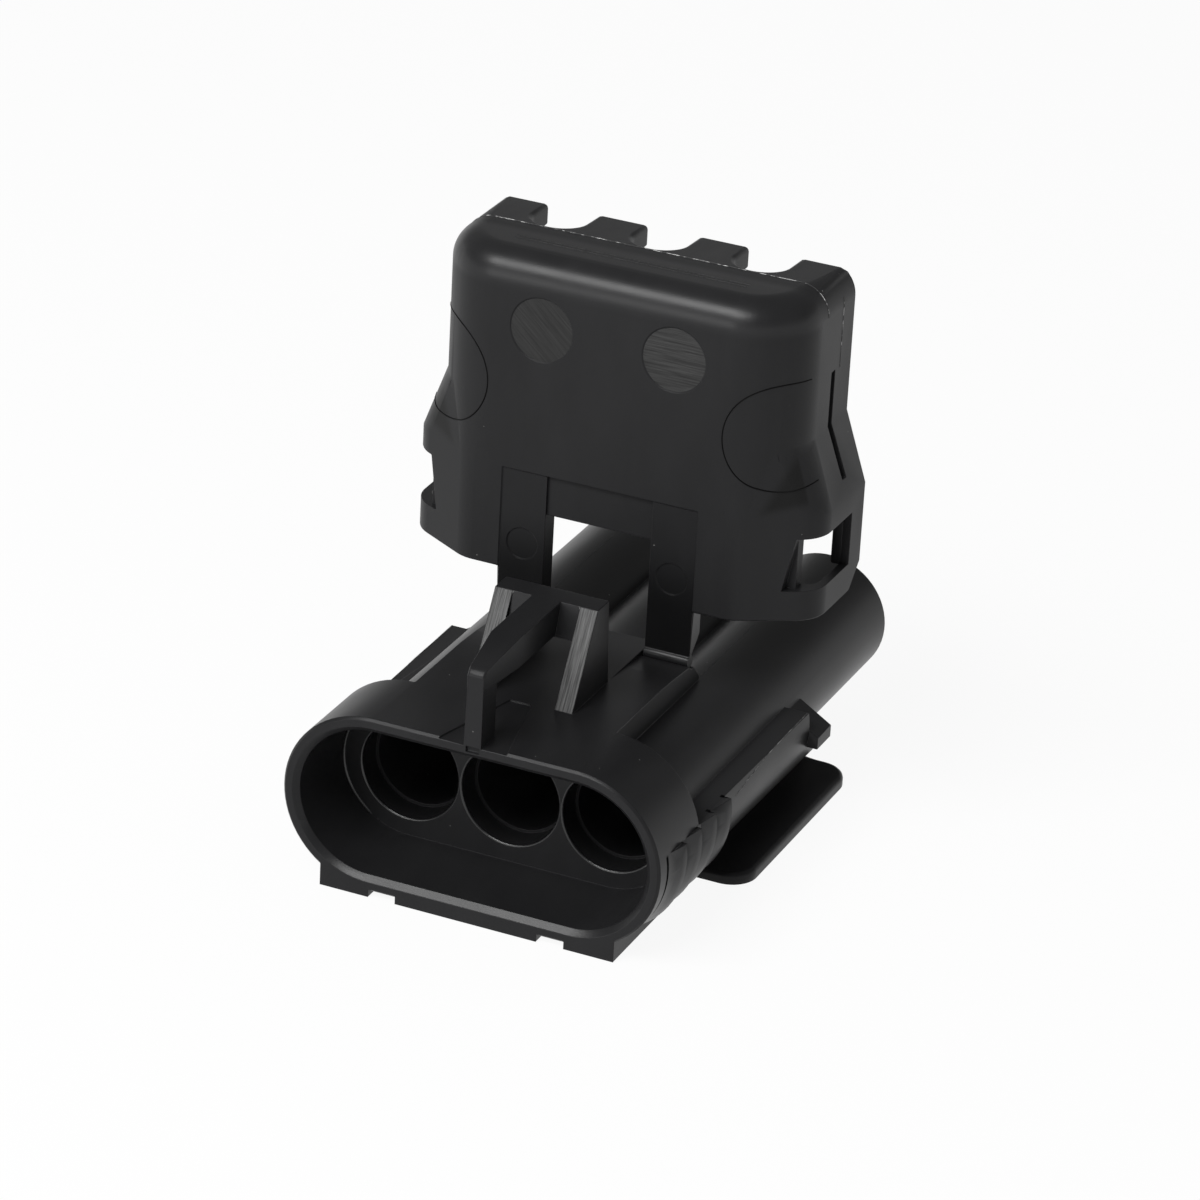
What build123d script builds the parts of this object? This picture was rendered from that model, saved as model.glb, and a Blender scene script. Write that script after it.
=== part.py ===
from build123d import *
from math import asin, cos, sin, pi
import os

# Three-way sealed connector shell with a hinged rear lock, moulded in black plastic.
# X is the width, Y runs from the mating mouth (low) to the cable end (high), Z is up.
# The origin is under the middle of the shell, on the surface that it stands on. Millimetres.

# How far a cut or a join runs past the solid, and how near an edge lies to the place it is picked at
overcut = 1.0
near = 0.01

# Housing, overall
body_length = 49.3
ways = 3
pitch = 8.4

# Collar round the mating mouth
collar_width = 31.0
collar_radius = 7.2
collar_length = 7.3
collar_wall = 1.2
mouth_depth = 7.15
mouth_draft = 2.0
rim_edge = 0.2
rim_bevel = 0.45
base_gap = 0.5

# Barrels that hold the terminals and the cable seals
barrel_radius = 5.2
barrel_drop = 0.3
barrel_end_edge = 0.3
tower_bore_radius = 3.75
tower_bore_depth = 16.0
tower_counterbore_radius = 4.0
tower_counterbore_depth = 2.25
terminal_hole_radius = 2.6
seal_bore_radius = 3.9
seal_bore_depth = 17.0
seal_lead_in = 0.2

# Wide lower half, its side ledges and the lock catches
ledge_z = 9.0
ledge_length = 28.6
lower_length = 33.0
catch_length = 2.7
catch_tip_x = 16.25
catch_tip_low_z = 6.0
catch_tip_height = 1.0
catch_root_z = 8.6

# Finger grips on the sides
grip_count = 4
grip_pitch = 2.75
grip_start = 1.6
grip_height = 0.45
grip_fall = 0.25
grip_root = 0.1

# Deck on top
deck_width = 16.7
hinge_setback = 21.3
deck_dip_start = 15.15
deck_dip_middle = 17.9
deck_dip_shallow = 0.14
deck_dip_deep = 0.4
bead_radius = 0.5

# Base ribs and mounting flange
rib_inner_half = 5.87
rib_groove = 2.22
rib_outer_half = 12.18
rib_height = 5.0
flange_width = 32.6
flange_start = 15.2
flange_end = 36.5
flange_thickness = 1.0
flange_corner = 2.2

# Latch bridge over the front of the deck
bridge_top_z = 21.9
bridge_beam = 2.6
bridge_undercut = 0.6
gusset_outer = 4.27
gusset_thickness = 1.5
gusset_front = 8.25
gusset_rear = 14.7
gusset_top_front = 12.1
gusset_top_rear = 14.1
post_width = 1.36
post_depth = 2.4
post_top_z = 21.0
post_nose = 0.4
arm_width = 2.4
arm_flare_end = 5.0
arm_depth = 2.5
relief_front_half = 2.8
relief_rear_half = 0.85
relief_depth = 0.15
rim_notch_width = 1.1
rim_notch_height = 0.5
rim_notch_depth = 0.3

# Living hinge
film_thickness = 0.4
film_height = 0.2
hinge_gap = 0.02
strap_inner = 4.4
strap_width = 3.75
strap_thickness = 1.75
strap_clearance = 0.1
bevel_clearance = 0.15
bevel_start = 0.45

# Rear lock, standing open
lock_width = 30.1
lock_depth = 11.8
lock_bottom = 4.3
lock_side_wall = 1.25
lock_end_wall = 1.9
lock_end_gap = 0.15
lock_shoulder_x = 11.75
lock_shoulder_depth = 3.3
lock_round = 5.3
lock_inner_round = 3.0
lock_top_round = 2.4
end_slope_start = 6.3
end_slope_fall = 0.3
face_recess = 0.12
face_recess_top = 12.7
window_top = 9.35
cross_recess = 0.25
wire_slot_width = 4.2
wire_slot_floor = 7.0

# Side wings of the lock, with the windows for the catches
wing_outer = 17.1
wing_wall = 0.65
wing_shoulder_x = 11.2
wing_shoulder_depth = 3.4
wing_shoulder_wall = 1.4
wing_shoulder_round = 3.0
wing_corner_x = 17.0
wing_corner_round = 3.0
wing_inner_round = 1.2
wing_flare_start = 18.3
wing_flare_end = 12.8
wing_depth = 11.5
wing_heel = 1.9
wing_window_low = 6.8
wing_window_high = 11.1
wing_window_x = 15.3
window_scoop_low_x = 14.5
window_scoop_depth = 2.9
catch_clearance = 0.15
side_slot_width = 0.7
side_slot_setback = 8.3
side_slot_low = 14.2
side_slot_high = 22.7

# Round marks of the mould's ejector pins
pin_mark_depth = 0.1
face_mark_radius = 2.6
face_mark_x = 5.45
face_mark_z = 24.5
strap_mark_radius = 1.3
strap_mark_z = 6.6

# Places that follow from the sizes
mouth = -body_length / 2
cable_end = body_length / 2
collar_z = base_gap + collar_radius
deck_top = base_gap + 2 * collar_radius
barrel_z = collar_z - barrel_drop
collar_rear = mouth + collar_length
way_x = [pitch * (way - (ways - 1) / 2) for way in range(ways)]
hinge_y = mouth + hinge_setback
hinge_z = deck_top - deck_dip_deep + film_height
strap_front = hinge_y - film_thickness / 2
strap_rear = strap_front + strap_thickness
strap_outer = strap_inner + strap_width
ledge_end = mouth + ledge_length
catch_end = ledge_end + catch_length
face_y = strap_front - face_recess
lock_base_z = hinge_z + lock_bottom
lock_back = face_y + lock_depth
wing_back = face_y + wing_depth
window_rear_y = hinge_y + hinge_z - catch_tip_low_z + catch_clearance
wing_low_z = hinge_z + wing_flare_end
wing_top_z = hinge_z + wing_flare_start
beyond = lock_back + overcut
side_cut_x = lock_width / 2 - lock_side_wall - overcut
end_wall_inner_z = hinge_z + (cable_end - hinge_y) + lock_end_gap
lock_top_z = end_wall_inner_z + lock_end_wall


def cross_section(y):
    """A drawing plane across the connector at y, with Z up: a minus amount extrudes it to the back."""
    return Plane.XZ.offset(-y)


def side_section(x):
    """A drawing plane along the connector at x, with Y across and Z up: it extrudes to the right."""
    return Plane.YZ.offset(x)


def collar_outline(inset=0.0):
    """The collar's section, a slot with full round ends, drawn smaller by inset."""
    with Locations((0, collar_z)):
        SlotOverall(collar_width - 2 * inset, 2 * (collar_radius - inset))


# The housing: collar, wide lower half, barrels, deck, base, latch bridge and catches in one moulding
with BuildPart() as housing:
    # Collar, open at the front
    with BuildSketch(cross_section(mouth)):
        collar_outline()
    extrude(amount=-collar_length)
    rim_edges = housing.edges().filter_by_position(Axis.Y, mouth - near, mouth + near)
    chamfer(rim_edges, rim_edge)

    # Lower half, as wide as the collar, up to the side ledges
    with BuildSketch(cross_section(mouth + rim_edge)):
        collar_outline()
        with Locations((0, ledge_z)):
            Rectangle(collar_width + 2, 2 * deck_top, align=(Align.CENTER, Align.MIN), mode=Mode.SUBTRACT)
    extrude(amount=-(ledge_length - rim_edge))
    with BuildSketch(cross_section(ledge_end)):
        collar_outline()
        with Locations((0, catch_tip_low_z)):
            Rectangle(collar_width + 2, 2 * deck_top, align=(Align.CENTER, Align.MIN), mode=Mode.SUBTRACT)
    extrude(amount=-(lower_length - ledge_length))

    # Barrels, side by side, out to the cable end
    with BuildSketch(cross_section(collar_rear - collar_wall)):
        with Locations(*[(x, barrel_z) for x in way_x]):
            Circle(barrel_radius)
    extrude(amount=-(cable_end - collar_rear + collar_wall))
    end_edges = housing.edges().filter_by_position(Axis.Y, cable_end - near, cable_end + near)
    chamfer(end_edges, barrel_end_edge)

    # Deck, level with the top of the collar, with a dip in front of each hinge strap
    with BuildSketch(cross_section(collar_rear)):
        with Locations((0, barrel_z)):
            Rectangle(deck_width, deck_top - barrel_z, align=(Align.CENTER, Align.MIN))
    extrude(amount=-(strap_rear - collar_rear))

    # Base ribs and flange
    with BuildSketch(Plane.XY):
        with Locations((0, mouth)):
            Rectangle(2 * rib_inner_half, flange_end, align=(Align.CENTER, Align.MIN))
        for side in (-1, 1):
            outer_rib = rib_outer_half - rib_inner_half - rib_groove
            with Locations((side * (rib_outer_half - outer_rib / 2), mouth)):
                Rectangle(outer_rib, flange_end, align=(Align.CENTER, Align.MIN))
    extrude(amount=rib_height)
    with BuildSketch(Plane.XY):
        with Locations((0, mouth + (flange_start + flange_end) / 2)):
            RectangleRounded(flange_width, flange_end - flange_start, flange_corner)
    extrude(amount=flange_thickness)

    # Catches for the lock's windows, each a ramp with a flat underside
    for side in (-1, 1):
        with BuildSketch(cross_section(ledge_end)):
            with BuildLine():
                Polyline(
                    (side * pitch, catch_tip_low_z),
                    (side * catch_tip_x, catch_tip_low_z),
                    (side * catch_tip_x, catch_tip_low_z + catch_tip_height),
                    (side * (pitch + barrel_radius), catch_root_z),
                    (side * pitch, catch_root_z),
                    close=True,
                )
            make_face()
        extrude(amount=-catch_length)

    # Finger grips: saw teeth that run round the lower quarter of each side, up to the ledge
    grip_angle = asin((ledge_z - collar_z) / collar_radius)
    grip_profile = [(collar_radius - collar_wall / 2, mouth + grip_start)]
    for tooth in range(grip_count):
        tooth_y = mouth + grip_start + tooth * grip_pitch
        grip_profile.append((collar_radius - grip_root, tooth_y))
        grip_profile.append((collar_radius + grip_height, tooth_y + grip_pitch - grip_fall))
    grip_end = mouth + grip_start + grip_count * grip_pitch
    grip_profile.append((collar_radius - grip_root, grip_end))
    grip_profile.append((collar_radius - collar_wall / 2, grip_end))
    for side in (-1, 1):
        grip_centre = side * (collar_width / 2 - collar_radius)
        outward = (side * cos(grip_angle), 0, sin(grip_angle))
        across = (-sin(grip_angle), 0, side * cos(grip_angle))
        with BuildSketch(Plane(origin=(grip_centre, 0, collar_z), x_dir=outward, z_dir=across)):
            with BuildLine():
                Polyline(*grip_profile, close=True)
            make_face()
        grip_axis = Axis((grip_centre, 0, collar_z), (0, side, 0))
        revolve(axis=grip_axis, revolution_arc=90 + grip_angle * 180 / pi)

    # Shallow recess on top of the collar, round the foot of the post
    with BuildSketch(Plane.XY.offset(deck_top)):
        with BuildLine():
            Polyline(
                (-relief_front_half, mouth - overcut),
                (relief_front_half, mouth - overcut),
                (relief_front_half, mouth),
                (relief_rear_half, mouth + gusset_front),
                (-relief_rear_half, mouth + gusset_front),
                (-relief_front_half, mouth),
                close=True,
            )
        make_face()
    extrude(amount=-relief_depth, mode=Mode.SUBTRACT)

    # Dips, hinge seats and rear bevels of the deck, where the straps of the lock lie
    for side in (-1, 1):
        with BuildSketch(side_section(side * (strap_inner - strap_clearance))):
            bevel_offset = bevel_clearance * 2 ** 0.5
            bevel_front_z = deck_top - deck_dip_deep
            bevel_front_y = hinge_y + hinge_z - bevel_offset - bevel_front_z
            bevel_rear_z = hinge_z - (strap_rear - hinge_y) - bevel_offset
            with BuildLine():
                Polyline(
                    (mouth + deck_dip_start, deck_top),
                    (mouth + deck_dip_middle, deck_top - deck_dip_shallow),
                    (hinge_y - bead_radius, bevel_front_z),
                    (bevel_front_y, bevel_front_z),
                    (strap_rear, bevel_rear_z),
                    (strap_rear + overcut, bevel_rear_z),
                    (strap_rear + overcut, deck_top + overcut),
                    (mouth + deck_dip_start, deck_top + overcut),
                    close=True,
                )
            make_face()
        extrude(amount=side * deck_width, mode=Mode.SUBTRACT)
        with BuildSketch(side_section(side * (strap_inner - strap_clearance))):
            with Locations((hinge_y, hinge_z)):
                Circle(bead_radius + hinge_gap)
        extrude(amount=side * deck_width, mode=Mode.SUBTRACT)

    # Latch bridge: two gussets, a crossbar, and an arm to a post at the rim
    for side in (-1, 1):
        with BuildSketch(side_section(side * gusset_outer)):
            with BuildLine():
                Polyline(
                    (mouth + gusset_front, deck_top - overcut),
                    (mouth + gusset_rear, deck_top - overcut),
                    (mouth + gusset_rear, deck_top),
                    (mouth + gusset_top_rear, bridge_top_z),
                    (mouth + gusset_top_front, bridge_top_z),
                    (mouth + gusset_front, deck_top),
                    close=True,
                )
            make_face()
        extrude(amount=-side * gusset_thickness)
    with BuildSketch(side_section(-gusset_outer)):
        beam_share = bridge_beam / (bridge_top_z - deck_top)
        beam_front = gusset_top_front - (gusset_top_front - gusset_front) * beam_share
        beam_rear = gusset_top_rear + (gusset_rear - gusset_top_rear) * beam_share
        with BuildLine():
            Polyline(
                (mouth + beam_front + bridge_undercut, bridge_top_z - bridge_beam),
                (mouth + beam_rear, bridge_top_z - bridge_beam),
                (mouth + gusset_top_rear, bridge_top_z),
                (mouth + gusset_top_front, bridge_top_z),
                close=True,
            )
        make_face()
    extrude(amount=2 * gusset_outer)
    with BuildSketch(Plane.XY.offset(bridge_top_z)):
        with BuildLine():
            Polyline(
                (-post_width / 2, mouth),
                (post_width / 2, mouth),
                (arm_width / 2, mouth + arm_flare_end),
                (arm_width / 2, mouth + gusset_top_rear - overcut),
                (-arm_width / 2, mouth + gusset_top_rear - overcut),
                (-arm_width / 2, mouth + arm_flare_end),
                close=True,
            )
        make_face()
    extrude(amount=-arm_depth)
    with BuildSketch(Plane.XY.offset(deck_top - overcut)):
        with Locations((0, mouth)):
            Rectangle(post_width, post_depth, align=(Align.CENTER, Align.MIN))
    extrude(amount=bridge_top_z - deck_top + overcut)
    # The post's top slopes back up to the arm
    with BuildSketch(side_section(-arm_width)):
        with BuildLine():
            Polyline(
                (mouth - overcut, bridge_top_z + overcut),
                (mouth - overcut, post_top_z - post_nose),
                (mouth, post_top_z - post_nose),
                (mouth + post_nose, post_top_z),
                (mouth + arm_flare_end, bridge_top_z),
                (mouth + arm_flare_end, bridge_top_z + overcut),
                close=True,
            )
        make_face()
    extrude(amount=2 * arm_width, mode=Mode.SUBTRACT)

    # Mating mouth
    with BuildSketch(cross_section(mouth)):
        collar_outline(inset=collar_wall)
    extrude(amount=-mouth_depth, taper=mouth_draft, mode=Mode.SUBTRACT)
    inner_rim = housing.faces().sort_by(Axis.Y)[0].inner_wires()[0].edges()
    chamfer(inner_rim, rim_bevel)

    # Terminal passages: counterbore, tower bore, terminal hole and seal bore on one axis
    with Locations(*[cross_section(mouth + mouth_depth) * Location((x, barrel_z)) for x in way_x]):
        CounterBoreHole(
            tower_bore_radius, tower_counterbore_radius, tower_counterbore_depth, depth=tower_bore_depth
        )
    for x in way_x:
        with BuildSketch(cross_section(cable_end)):
            with Locations((x, barrel_z)):
                Circle(seal_bore_radius)
        extrude(amount=seal_bore_depth, mode=Mode.SUBTRACT)
        with BuildSketch(cross_section(mouth + mouth_depth)):
            with Locations((x, barrel_z)):
                Circle(terminal_hole_radius)
        extrude(amount=-(body_length - mouth_depth), mode=Mode.SUBTRACT)
    rear_edges = housing.edges().filter_by_position(Axis.Y, cable_end - near, cable_end + near)
    seal_edges = rear_edges.filter_by(lambda edge: abs(edge.radius - seal_bore_radius) < near)
    chamfer(seal_edges, seal_lead_in)

    # Notch in the rim under the post
    with BuildSketch(cross_section(mouth)):
        with Locations((0, deck_top - relief_depth)):
            Rectangle(rim_notch_width, rim_notch_height, align=(Align.CENTER, Align.MAX))
    extrude(amount=-rim_notch_depth, mode=Mode.SUBTRACT)
housing.part.label = "housing"


def lock_outline(shoulder_x, shoulder_depth, corner_x, back_x, back_y, rounds, wall=0.0, shoulder_wall=0.0):
    """A section through the standing lock, or the hollow inside its walls: a flat front, a sloped
    shoulder on each side and straight sides out to back_y. rounds holds the two corner radii."""
    slope = shoulder_depth / (corner_x - shoulder_x)
    lift = shoulder_wall * (1 + slope**2) ** 0.5
    front_y = strap_rear if wall else face_y
    start_x = shoulder_x + (front_y - face_y - lift) / slope
    side_x = corner_x - wall
    corner_y = face_y + lift + slope * (side_x - shoulder_x)
    Polygon(
        (-start_x, front_y),
        (start_x, front_y),
        (side_x, corner_y),
        (back_x - wall, back_y),
        (-(back_x - wall), back_y),
        (-side_x, corner_y),
        align=None,
    )
    fillet(vertices().group_by(Axis.Y)[0], rounds[0])
    fillet(vertices().filter_by_position(Axis.Y, corner_y - near, corner_y + near), rounds[1])


def upper_outline():
    """The lock's section above the wings."""
    half = lock_width / 2
    lock_outline(lock_shoulder_x, lock_shoulder_depth, half, half, lock_back, (lock_round, lock_round))


def upper_hollow():
    """The hollow inside the section above the wings."""
    half = lock_width / 2
    rounds = (lock_inner_round, lock_inner_round)
    walls = (lock_side_wall, lock_side_wall)
    lock_outline(lock_shoulder_x, lock_shoulder_depth, half, half, beyond, rounds, *walls)


def wing_outline():
    """The lock's section through the wings."""
    rounds = (wing_shoulder_round, wing_corner_round)
    lock_outline(wing_shoulder_x, wing_shoulder_depth, wing_corner_x, wing_outer, wing_back, rounds)


def wing_hollow():
    """The hollow inside the section through the wings: thick shoulders and thin sides."""
    rounds = (wing_shoulder_round, wing_inner_round)
    walls = (wing_wall, wing_shoulder_wall)
    lock_outline(wing_shoulder_x, wing_shoulder_depth, wing_corner_x, wing_outer, beyond, rounds, *walls)


# The lock: an open cover with an end wall, side wings and two straps down to the hinge
with BuildPart() as secondary_lock:
    # Upper part and end wall, solid at first
    with BuildSketch(Plane.XY.offset(wing_top_z)):
        upper_outline()
    extrude(amount=lock_top_z - wing_top_z)
    top_edges = secondary_lock.faces().sort_by(Axis.Z)[-1].outer_wire().edges()
    back_edge = top_edges.sort_by(Axis.Y)[-1]
    fillet([edge for edge in top_edges if edge.center().Y < back_edge.center().Y - near], lock_top_round)
    with BuildSketch(side_section(-lock_width)):
        with BuildLine():
            Polyline(
                (face_y + end_slope_start, lock_top_z),
                (lock_back, lock_top_z - end_slope_fall),
                (lock_back + overcut, lock_top_z - end_slope_fall),
                (lock_back + overcut, lock_top_z + overcut),
                (face_y + end_slope_start, lock_top_z + overcut),
                close=True,
            )
        make_face()
    extrude(amount=2 * lock_width, mode=Mode.SUBTRACT)

    # Flare down to the wings
    with BuildSketch(Plane.XY.offset(wing_top_z)) as flare_top:
        upper_outline()
    with BuildSketch(Plane.XY.offset(wing_low_z)) as flare_low:
        wing_outline()
    loft(sections=[flare_top.sketch, flare_low.sketch])
    with BuildSketch(Plane.XY.offset(wing_low_z)):
        wing_outline()
    extrude(amount=lock_base_z - wing_low_z)

    # Hollow behind the front plate, open to the back and below
    with BuildSketch(Plane.XY.offset(wing_top_z)):
        upper_hollow()
    extrude(amount=end_wall_inner_z - wing_top_z, mode=Mode.SUBTRACT)
    with BuildSketch(Plane.XY.offset(wing_top_z)) as hollow_top:
        upper_hollow()
    with BuildSketch(Plane.XY.offset(wing_low_z)) as hollow_low:
        wing_hollow()
    loft(sections=[hollow_top.sketch, hollow_low.sketch], mode=Mode.SUBTRACT)
    with BuildSketch(Plane.XY.offset(wing_low_z)):
        wing_hollow()
    extrude(amount=lock_base_z - overcut - wing_low_z, mode=Mode.SUBTRACT)

    # Slots in the end wall for the cables
    with BuildSketch(Plane.XY.offset(end_wall_inner_z - overcut)):
        slot_centre = face_y + wire_slot_floor + wire_slot_width / 2
        with Locations(*[(x, slot_centre) for x in way_x]):
            Circle(wire_slot_width / 2)
        with Locations(*[(x, slot_centre) for x in way_x]):
            Rectangle(wire_slot_width, lock_depth, align=(Align.CENTER, Align.MIN))
    extrude(amount=lock_top_z - end_wall_inner_z + 2 * overcut, mode=Mode.SUBTRACT)

    # Wings: bevelled heels, catch windows with a scoop in front, and slots in the sides
    for side in (-1, 1):
        with BuildSketch(side_section(side * side_cut_x)):
            with BuildLine():
                Polyline(
                    (wing_back - wing_heel, lock_base_z - overcut),
                    (wing_back - wing_heel, lock_base_z),
                    (wing_back, lock_base_z + wing_heel),
                    (wing_back + overcut, lock_base_z + wing_heel),
                    (wing_back + overcut, lock_base_z - overcut),
                    close=True,
                )
            make_face()
        extrude(amount=side * lock_width, mode=Mode.SUBTRACT)
        with BuildSketch(cross_section(face_y - overcut)):
            with BuildLine():
                Polyline(
                    (side * wing_window_x, hinge_z + wing_window_low),
                    (side * lock_width, hinge_z + wing_window_low),
                    (side * lock_width, hinge_z + wing_window_high),
                    (side * wing_window_x, hinge_z + wing_window_high),
                    close=True,
                )
            make_face()
        extrude(amount=-(window_rear_y - face_y + overcut), mode=Mode.SUBTRACT)
        with BuildSketch(cross_section(face_y - overcut)):
            with BuildLine():
                Polyline(
                    (side * window_scoop_low_x, hinge_z + wing_window_low),
                    (side * wing_outer, hinge_z + wing_window_low),
                    (side * wing_outer, hinge_z + wing_window_high),
                    (side * wing_window_x, hinge_z + wing_window_high),
                    close=True,
                )
            make_face()
        extrude(amount=-(window_scoop_depth + overcut), mode=Mode.SUBTRACT)
        with BuildSketch(side_section(side * side_cut_x)):
            slot_height = side_slot_high - side_slot_low
            with Locations((face_y + side_slot_setback, hinge_z + side_slot_low)):
                Rectangle(side_slot_width, slot_height, align=(Align.CENTER, Align.MIN))
        extrude(amount=side * lock_width, mode=Mode.SUBTRACT)

    # Front face: recessed panel, deeper cross-piece, window between the straps, round marks
    with BuildSketch(Plane.XZ.offset(-face_y)):
        with Locations((0, lock_base_z)):
            panel_top = hinge_z + face_recess_top
            Rectangle(2 * strap_outer, panel_top - lock_base_z, align=(Align.CENTER, Align.MIN))
    extrude(amount=-face_recess, mode=Mode.SUBTRACT)
    with BuildSketch(Plane.XZ.offset(-face_y)):
        with Locations((0, lock_base_z)):
            Rectangle(2 * strap_inner, panel_top - lock_base_z, align=(Align.CENTER, Align.MIN))
    extrude(amount=-(face_recess + cross_recess), mode=Mode.SUBTRACT)
    with BuildSketch(Plane.XZ.offset(-face_y)):
        with Locations((0, lock_base_z - overcut)):
            opening_top = hinge_z + window_top
            Rectangle(2 * strap_inner, opening_top - lock_base_z + overcut, align=(Align.CENTER, Align.MIN))
    extrude(amount=-(face_recess + strap_thickness + overcut), mode=Mode.SUBTRACT)
    with BuildSketch(Plane.XZ.offset(-face_y)):
        with Locations((-face_mark_x, hinge_z + face_mark_z), (face_mark_x, hinge_z + face_mark_z)):
            Circle(face_mark_radius)
    extrude(amount=-pin_mark_depth, mode=Mode.SUBTRACT)

    # Straps with a bevelled foot, the thin hinge web and the bead that turns in the deck
    for side in (-1, 1):
        with BuildSketch(side_section(side * strap_inner)):
            with BuildLine():
                Polyline(
                    (strap_front, hinge_z),
                    (strap_front, lock_base_z + overcut),
                    (strap_rear, lock_base_z + overcut),
                    (strap_rear, hinge_z + bevel_start + strap_thickness - film_thickness),
                    (strap_front + film_thickness, hinge_z + bevel_start),
                    (strap_front + film_thickness, hinge_z),
                    close=True,
                )
            make_face()
        extrude(amount=side * strap_width)
        with BuildSketch(side_section(side * strap_inner)):
            with Locations((hinge_y, hinge_z)):
                Circle(bead_radius)
        extrude(amount=side * strap_width)
    strap_middle = strap_inner + strap_width / 2
    with BuildSketch(Plane.XZ.offset(-strap_front)):
        with Locations((-strap_middle, hinge_z + strap_mark_z), (strap_middle, hinge_z + strap_mark_z)):
            Circle(strap_mark_radius)
    extrude(amount=-pin_mark_depth, mode=Mode.SUBTRACT)
secondary_lock.part.label = "secondary_lock"

os.makedirs("parts", exist_ok=True)
export_step(housing.part, "parts/housing.step")
export_step(secondary_lock.part, "parts/secondary_lock.step")
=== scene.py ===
# %% [markdown]
# # A moulded cable connector with a hinged lock
# The part is a small black plastic shell, about 5 cm long. One mould makes all of it: the collar, the
# barrels for the cables, a little latch bridge on top, and a lock that stands open on two thin webs.
# The CAD model already has the true shapes and sizes, so this scene dresses it: softened edges, the
# fine lines that the mould leaves, a real plastic finish, a studio and a camera.
# The first step loads the CAD model as a fixed frame. Everything after it is in metres, in that frame:
# X goes across the barrels, Y from the mating mouth to the cable end, and Z up.

# %% Load the CAD frame
import math

import bmesh
import bpy
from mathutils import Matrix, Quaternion, Vector


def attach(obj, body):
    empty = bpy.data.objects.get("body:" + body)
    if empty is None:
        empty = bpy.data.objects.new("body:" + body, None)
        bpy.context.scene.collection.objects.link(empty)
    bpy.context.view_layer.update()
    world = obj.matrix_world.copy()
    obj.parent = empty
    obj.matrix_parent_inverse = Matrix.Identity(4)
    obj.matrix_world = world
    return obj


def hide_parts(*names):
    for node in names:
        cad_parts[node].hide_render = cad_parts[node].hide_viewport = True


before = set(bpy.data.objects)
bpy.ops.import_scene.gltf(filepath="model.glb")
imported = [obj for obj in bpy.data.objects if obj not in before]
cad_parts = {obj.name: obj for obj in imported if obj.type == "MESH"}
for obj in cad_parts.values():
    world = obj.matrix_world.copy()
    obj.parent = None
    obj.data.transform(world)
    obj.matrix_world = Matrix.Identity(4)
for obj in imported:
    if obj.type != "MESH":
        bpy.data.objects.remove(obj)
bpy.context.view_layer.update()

MM = 0.001

# %% [markdown]
# ## Sizes that more than one step needs
# They repeat sizes of the CAD model, in millimetres turned to metres: the mating mouth and the wall
# inside it, the height of the three passages, of the flange and of the hinge, and the lock's outer
# faces. Fine lines and marks are placed from them.

# %% Places on the part
mouth_y = -24.65 * MM
inner_wall_y = mouth_y + 7.15 * MM
passage_z = 7.4 * MM
flange_top_z = 1.0 * MM
hinge_z = 14.7 * MM
lock_half = 15.05 * MM
lock_top_z = 44.75 * MM
parting_y = 2.85 * MM
print("the lock stands", round((lock_top_z - hinge_z) / MM, 2), "mm above its hinge")

# %% [markdown]
# ## Small helpers
# Operators act on everything that is selected, and the loaded CAD nodes still are. So one helper
# selects a single object. The others copy an object with its own mesh, apply a modifier, put an
# object's place into its mesh, and say which body a finished piece rides on, printing its size.


# %% Select, copy, apply and settle one object
def select_only(piece):
    if bpy.context.object and bpy.context.object.mode != "OBJECT":
        bpy.ops.object.mode_set(mode="OBJECT")
    bpy.ops.object.select_all(action="DESELECT")
    piece.select_set(True)
    bpy.context.view_layer.objects.active = piece


def copy_of(source, name):
    piece = bpy.data.objects.new(name, source.data.copy())
    bpy.context.scene.collection.objects.link(piece)
    piece.data.name = name
    return piece


def apply_modifier(piece, kind, **settings):
    select_only(piece)
    modifier = piece.modifiers.new(kind.lower(), kind)
    for name, value in settings.items():
        setattr(modifier, name, value)
    bpy.ops.object.modifier_apply(modifier=modifier.name)


def apply_place(piece):
    select_only(piece)
    bpy.ops.object.transform_apply(location=True, rotation=True, scale=True)


def settle(piece, body):
    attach(piece, body)
    size = [round(v / MM, 2) for v in piece.dimensions]
    print(piece.name, "size", size, "mm,", len(piece.data.polygons), "faces, on", body)


# %% [markdown]
# ## The moulded shells, with soft edges
# On the real part no edge is a knife edge: the mould's corners are rounded by a tenth of a millimetre
# or so, and that is where the light catches. The CAD solids have the true shapes with sharp edges.
# The CAD mesh itself stays as it is, so each shell is a copy of it. The copy's loose triangles are
# merged, flat areas become single faces, and a bevel rounds every real edge. A bevel was chosen over a
# subdivision surface because it keeps all flats flat and all sizes true. The edges that the photograph
# shows soft and bright are chosen by their place and bevelled wider first; a fine bevel takes the rest.
# Each rule below gets an edge's lower and upper end, and whether the edge points outwards.


# %% Which edges of the shell are rounded wider
def at(value, place, near=0.03 * MM):
    return abs(value - place) < near


def flange_rim(low, high, convex):
    at_sides = max(abs(low.x), abs(high.x)) > 12.3 * MM
    return convex and at(low.z, flange_top_z) and at(high.z, flange_top_z) and at_sides


def bore_rims(low, high, convex):
    on_wall = at(low.y, inner_wall_y) and at(high.y, inner_wall_y)
    at_bores = max(abs(low.z - passage_z), abs(high.z - passage_z)) < 4.3 * MM
    level = at(low.z, high.z, 0.001 * MM)
    return on_wall and at_bores and not level


def collar_rim(low, high, convex):
    at_mouth = min(low.y, high.y) > mouth_y - 0.01 * MM and max(low.y, high.y) < mouth_y + 0.6 * MM
    on_collar = max(low.z, high.z) < 15.0 * MM
    in_notch = min(low.z, high.z) > 13.5 * MM and max(abs(low.x), abs(high.x)) < 0.6 * MM
    return at_mouth and on_collar and at(low.y, high.y) and not in_notch


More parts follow.
